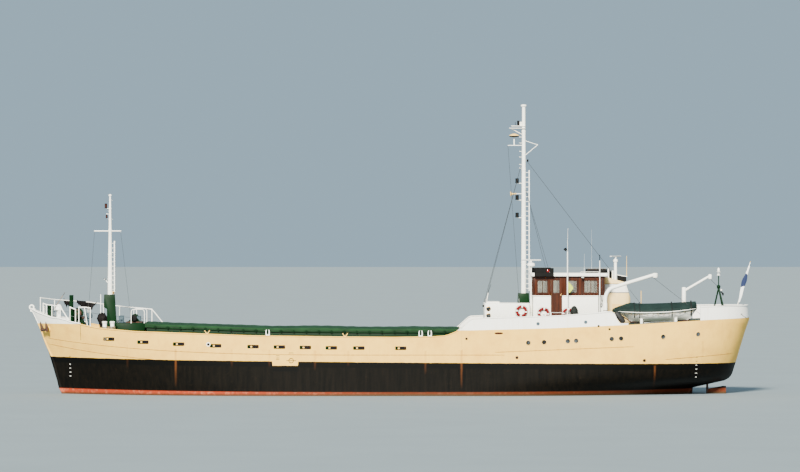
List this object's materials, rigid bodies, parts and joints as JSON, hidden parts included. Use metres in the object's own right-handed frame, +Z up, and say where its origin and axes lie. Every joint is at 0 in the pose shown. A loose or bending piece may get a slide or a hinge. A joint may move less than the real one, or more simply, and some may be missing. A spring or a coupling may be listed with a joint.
{
  "type": "small motor coaster",
  "caption": "Small motor cargo coaster afloat: full steel hull, long covered hatch, lowering masts, wooden wheelhouse and funnel aft, lifeboat under davits, screw and rudder.",
  "frame": {"origin": "amidships on the centreline, at the waterline", "axes": "+X to the bow, +Y to port, +Z up"},
  "size_m": [36.1796, 6.96, 16.262],
  "materials": {
    "hull_paint": "satin",
    "white_paint": "satin",
    "green_paint": "satin",
    "grey_paint": "satin",
    "black_paint": "satin",
    "antifouling": "matt",
    "mast_paint": "gloss",
    "funnel_paint": "satin",
    "bronze": "polished by use",
    "anchor_iron": "rusty",
    "varnished_wood": "varnished",
    "tarpaulin": "waxed canvas",
    "bunting": "woven cloth"
  },
  "bodies": {
    "ship": {"hull": "hull_paint", "bulwark_port": "hull_paint", "bulwark_starboard": "hull_paint", "poop_bulwark_port": "white_paint", "poop_bulwark_starboard": "white_paint", "stern_bulwark": "white_paint", "bow_bulwark": "white_paint", "bow_rail_port_1": "white_paint", "bow_rail_port_2": "white_paint", "bow_rail_port_3": "white_paint", "bow_rail_starboard": "white_paint", "anchor_port": "anchor_iron", "anchor_starboard": "anchor_iron", "windlass": "green_paint", "bow_vent_pipe": "green_paint", "bow_cowl_vent": "white_paint", "deck_vent": "grey_paint", "bow_locker": "green_paint", "bitts_fore_port": "white_paint", "bitts_fore_starboard": "white_paint", "cargo_winch": "anchor_iron", "hatch_coaming": "green_paint", "hatch_cover": "tarpaulin", "mast_house": "green_paint", "foremast_tabernacle": "green_paint", "mainmast_tabernacle": "green_paint", "poop_front_house": "white_paint", "deckhouse": "white_paint", "wheelhouse_side_port": "varnished_wood", "wheelhouse_side_starboard": "varnished_wood", "wheelhouse_front": "varnished_wood", "wheelhouse_back": "varnished_wood", "wheelhouse_roof": "white_paint", "helm": "varnished_wood", "sidelight_port": "black_paint", "sidelight_starboard": "black_paint", "roof_box": "black_paint", "floodlight_pole": "white_paint", "radar_fore_post": "white_paint", "radar_aft_post": "white_paint", "funnel": "funnel_paint", "exhaust_pipes": "black_paint", "lifeboat": "white_paint", "lifeboat_cover": "tarpaulin", "boat_chocks": "varnished_wood", "stern_light_stand": "green_paint", "ensign_staff": "varnished_wood", "ensign": "bunting"},
    "rudder": {"rudder": "antifouling"},
    "propeller": {"propeller": "bronze"},
    "foremast": {"foremast": "mast_paint", "foremast_ladder": "mast_paint"},
    "mainmast": {"mainmast": "mast_paint", "mainmast_ladder": "mast_paint"},
    "door_port": {"door_port": "varnished_wood"},
    "door_starboard": {"door_starboard": "varnished_wood"},
    "radar_fore_scanner": {"radar_fore_scanner": "white_paint"},
    "radar_aft_scanner": {"radar_aft_scanner": "white_paint"},
    "davit_fore": {"davit_fore": "white_paint"},
    "davit_aft": {"davit_aft": "white_paint"}
  },
  "joints": [
    {"name": "propeller_turn", "type": "hinge", "parent": "ship", "child": "propeller", "pos_m": [-15.36, 0, -0.95], "axis": [1, 0, 0], "continuous": true},
    {"name": "rudder_turn", "type": "hinge", "parent": "ship", "child": "rudder", "pos_m": [-15.93, 0, -0.6], "axis": [0, 0, 1], "range_deg": [-35, 35]},
    {"name": "foremast_lower", "type": "hinge", "parent": "ship", "child": "foremast", "pos_m": [14, 0, 4.78], "axis": [0, -1, 0], "range_deg": [0, 85]},
    {"name": "mainmast_lower", "type": "hinge", "parent": "ship", "child": "mainmast", "pos_m": [-6.73, 0, 4.85], "axis": [0, 1, 0], "range_deg": [0, 85]},
    {"name": "door_port_swing", "type": "hinge", "parent": "ship", "child": "door_port", "pos_m": [-8.03, 2, 4.98], "axis": [0, 0, -1], "range_deg": [0, 100]},
    {"name": "door_starboard_swing", "type": "hinge", "parent": "ship", "child": "door_starboard", "pos_m": [-8.03, -2, 4.98], "axis": [0, 0, 1], "range_deg": [0, 100]},
    {"name": "radar_fore_turn", "type": "hinge", "parent": "ship", "child": "radar_fore_scanner", "pos_m": [-7.06, 1.25, 6.6], "axis": [0, 0, 1], "continuous": true},
    {"name": "radar_aft_turn", "type": "hinge", "parent": "ship", "child": "radar_aft_scanner", "pos_m": [-11.33, 0, 6.85], "axis": [0, 0, 1], "continuous": true},
    {"name": "davit_fore_turn", "type": "hinge", "parent": "ship", "child": "davit_fore", "pos_m": [-10.7, 2.72, 4.6], "axis": [0, 0, -1], "range_deg": [0, 135]},
    {"name": "davit_aft_turn", "type": "hinge", "parent": "ship", "child": "davit_aft", "pos_m": [-14.68, 1.25, 4.6], "axis": [0, 0, -1], "range_deg": [0, 135]}
  ]
}
